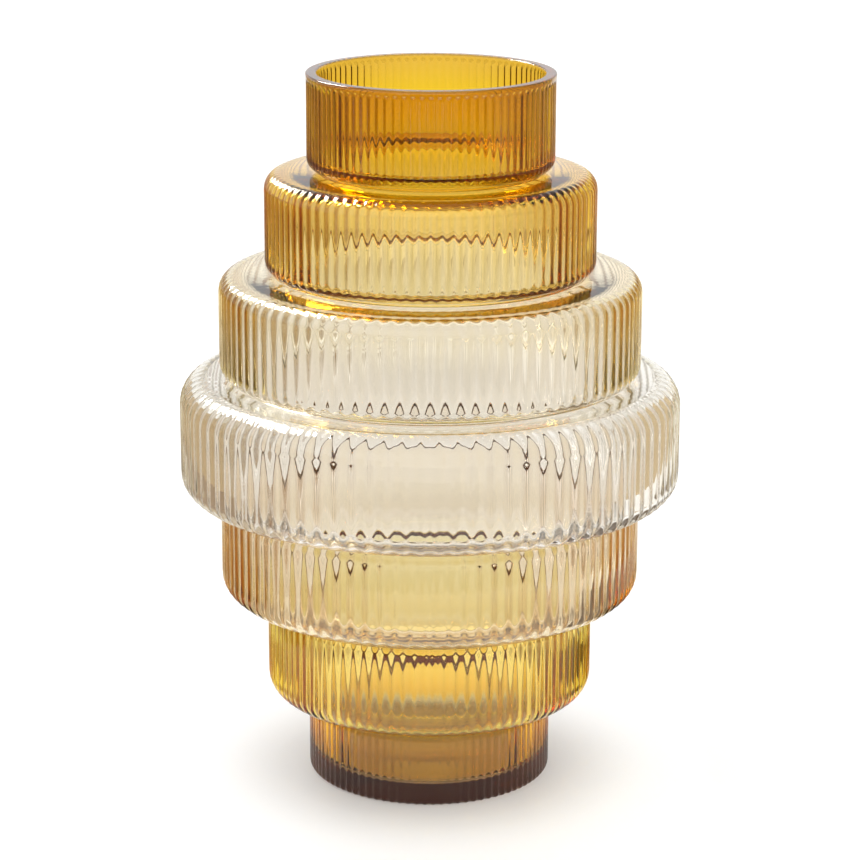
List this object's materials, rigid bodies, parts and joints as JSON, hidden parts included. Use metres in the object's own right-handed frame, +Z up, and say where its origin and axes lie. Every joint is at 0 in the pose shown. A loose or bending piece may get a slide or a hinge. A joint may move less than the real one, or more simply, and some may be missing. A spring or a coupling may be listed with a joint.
{
  "type": "decorative vase",
  "caption": "Tall stepped vase of vertically ribbed amber glass, made of stacked drums that widen to a belly; open at the top, it holds water and cut flowers.",
  "frame": {"origin": "on the ground, at the centre of the ring that the foot stands on", "axes": "+Z up, along the vase's axis; X and Y are alike"},
  "size_m": [0.209, 0.209, 0.3],
  "materials": {
    "amber_glass": "clear glass, fire-polished; amber that is deep at the collar and the foot and fades to near clear champagne at the belly"
  },
  "bodies": {
    "root": {"collar": "amber_glass", "upper_shoulder": "amber_glass", "lower_shoulder": "amber_glass", "belly": "amber_glass", "upper_hip": "amber_glass", "lower_hip": "amber_glass", "foot": "amber_glass", "base_pad": "amber_glass"}
  },
  "joints": []
}
